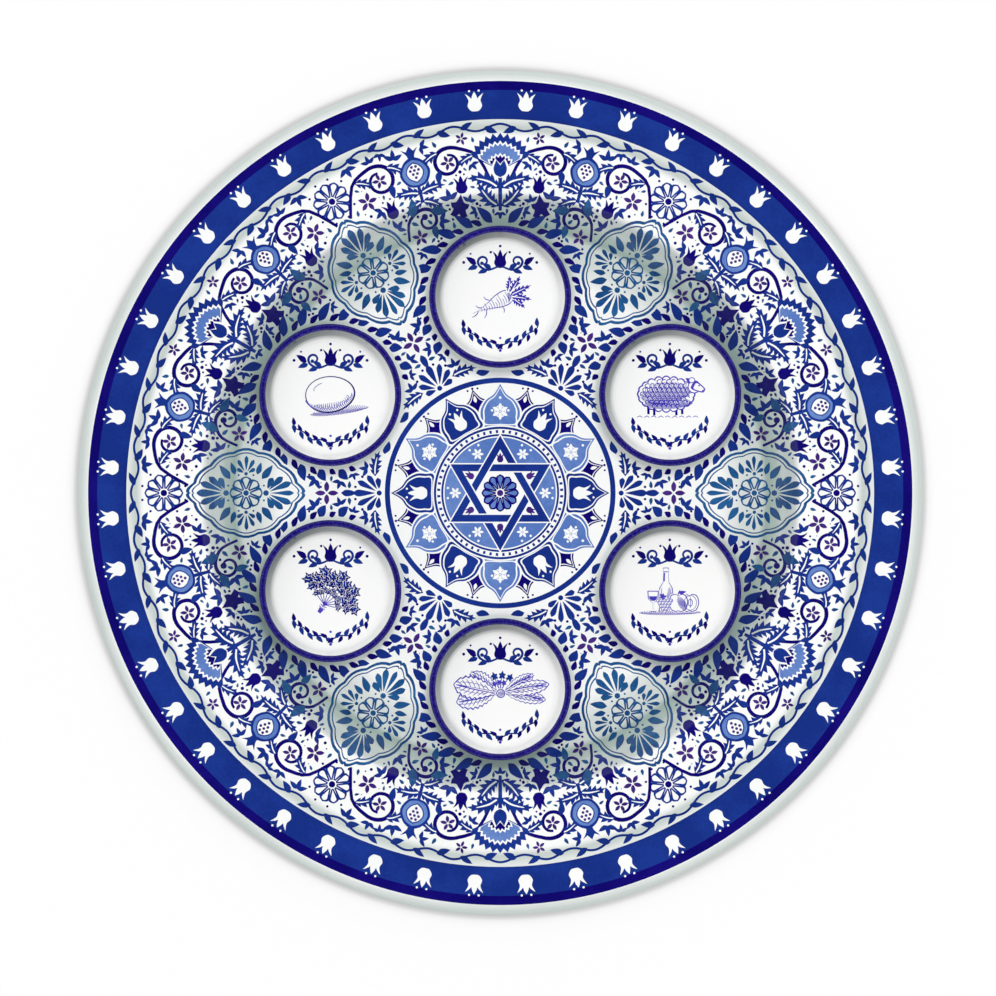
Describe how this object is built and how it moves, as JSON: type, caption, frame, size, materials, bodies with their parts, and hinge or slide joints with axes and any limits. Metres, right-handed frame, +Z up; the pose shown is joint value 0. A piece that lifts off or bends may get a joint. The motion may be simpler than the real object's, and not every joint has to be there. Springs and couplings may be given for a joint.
{
  "type": "seder plate",
  "caption": "Round glazed serving plate with a wide raised flange and a ring of small round loose dishes seated in its basin, blue and white.",
  "frame": {"origin": "centre of the resting plane of the plate's foot ring", "axes": "+Z up, +Y towards the horseradish dish at the top of the plate, +X towards the gap between the shank bone and charoset dishes"},
  "size_m": [0.33, 0.33, 0.0263],
  "materials": {
    "plate_glaze": "clear gloss glaze over white ceramic",
    "dish_glaze": "clear gloss glaze over white ceramic",
    "royal_ink": "royal blue under the glaze",
    "navy_ink": "deep navy under the glaze",
    "teal_ink": "teal blue under the glaze",
    "pale_ink": "pale blue under the glaze",
    "violet_ink": "violet under the glaze"
  },
  "bodies": {
    "plate": {"plate": "plate_glaze"},
    "shank_bone_dish": {"shank_bone_dish": "dish_glaze"},
    "horseradish_dish": {"horseradish_dish": "dish_glaze"},
    "egg_dish": {"egg_dish": "dish_glaze"},
    "greens_dish": {"greens_dish": "dish_glaze"},
    "bitter_herbs_dish": {"bitter_herbs_dish": "dish_glaze"},
    "charoset_dish": {"charoset_dish": "dish_glaze"}
  },
  "joints": [
    {"name": "shank_bone_dish_lift", "type": "slide", "parent": "plate", "child": "shank_bone_dish", "axis": [0, 0, 1], "range_m": [0, 0.04]},
    {"name": "horseradish_dish_lift", "type": "slide", "parent": "plate", "child": "horseradish_dish", "axis": [0, 0, 1], "range_m": [0, 0.04]},
    {"name": "egg_dish_lift", "type": "slide", "parent": "plate", "child": "egg_dish", "axis": [0, 0, 1], "range_m": [0, 0.04]},
    {"name": "greens_dish_lift", "type": "slide", "parent": "plate", "child": "greens_dish", "axis": [0, 0, 1], "range_m": [0, 0.04]},
    {"name": "bitter_herbs_dish_lift", "type": "slide", "parent": "plate", "child": "bitter_herbs_dish", "axis": [0, 0, 1], "range_m": [0, 0.04]},
    {"name": "charoset_dish_lift", "type": "slide", "parent": "plate", "child": "charoset_dish", "axis": [0, 0, 1], "range_m": [0, 0.04]}
  ]
}
